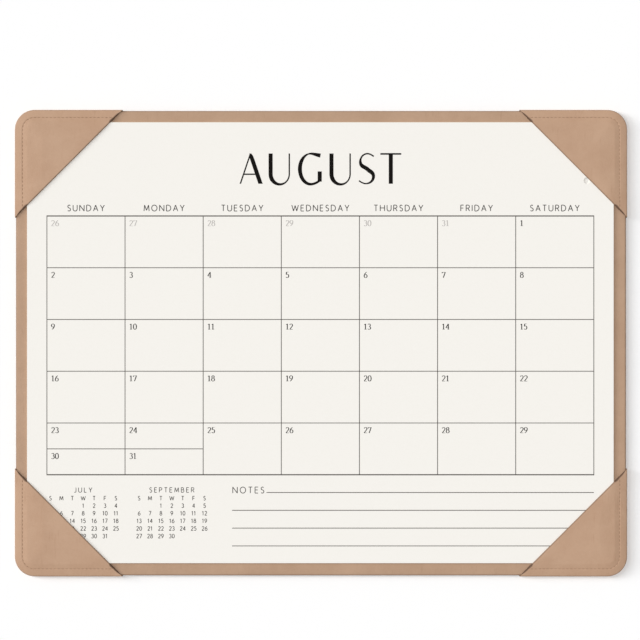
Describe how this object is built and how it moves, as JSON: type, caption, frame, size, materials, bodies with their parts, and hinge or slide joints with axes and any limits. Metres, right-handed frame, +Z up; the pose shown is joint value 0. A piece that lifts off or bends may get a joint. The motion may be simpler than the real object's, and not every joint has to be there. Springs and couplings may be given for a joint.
{
  "type": "desk pad calendar",
  "caption": "Flat leatherette desk holder with folded corner pockets that hold a pad of monthly calendar leaves.",
  "frame": {"origin": "middle of the holder's outline, on the surface that it lies on", "axes": "+X along the long side to the reader's right, +Y towards the head of the page, +Z up out of the page"},
  "size_m": [0.5334, 0.4064, 0.0101],
  "materials": {
    "leatherette": "matt fine-grained leatherette, tan",
    "greyboard": "raw grey board",
    "lining": "brushed suede-like lining",
    "backing_card": "white-faced card",
    "paper": "uncoated cream paper",
    "gum": "dried padding gum",
    "ink": "matt grey print"
  },
  "bodies": {
    "root": {"base_board": "greyboard", "base_cover": "leatherette", "base_lining": "lining", "pocket_top_left": "leatherette", "pocket_top_right": "leatherette", "pocket_bottom_left": "leatherette", "pocket_bottom_right": "leatherette", "pad_backing": "backing_card", "sheet_block": "paper", "gummed_edge": "gum", "month_grid": "ink", "note_rule_1": "ink", "note_rule_2": "ink", "note_rule_3": "ink", "note_rule_4": "ink"}
  },
  "joints": []
}
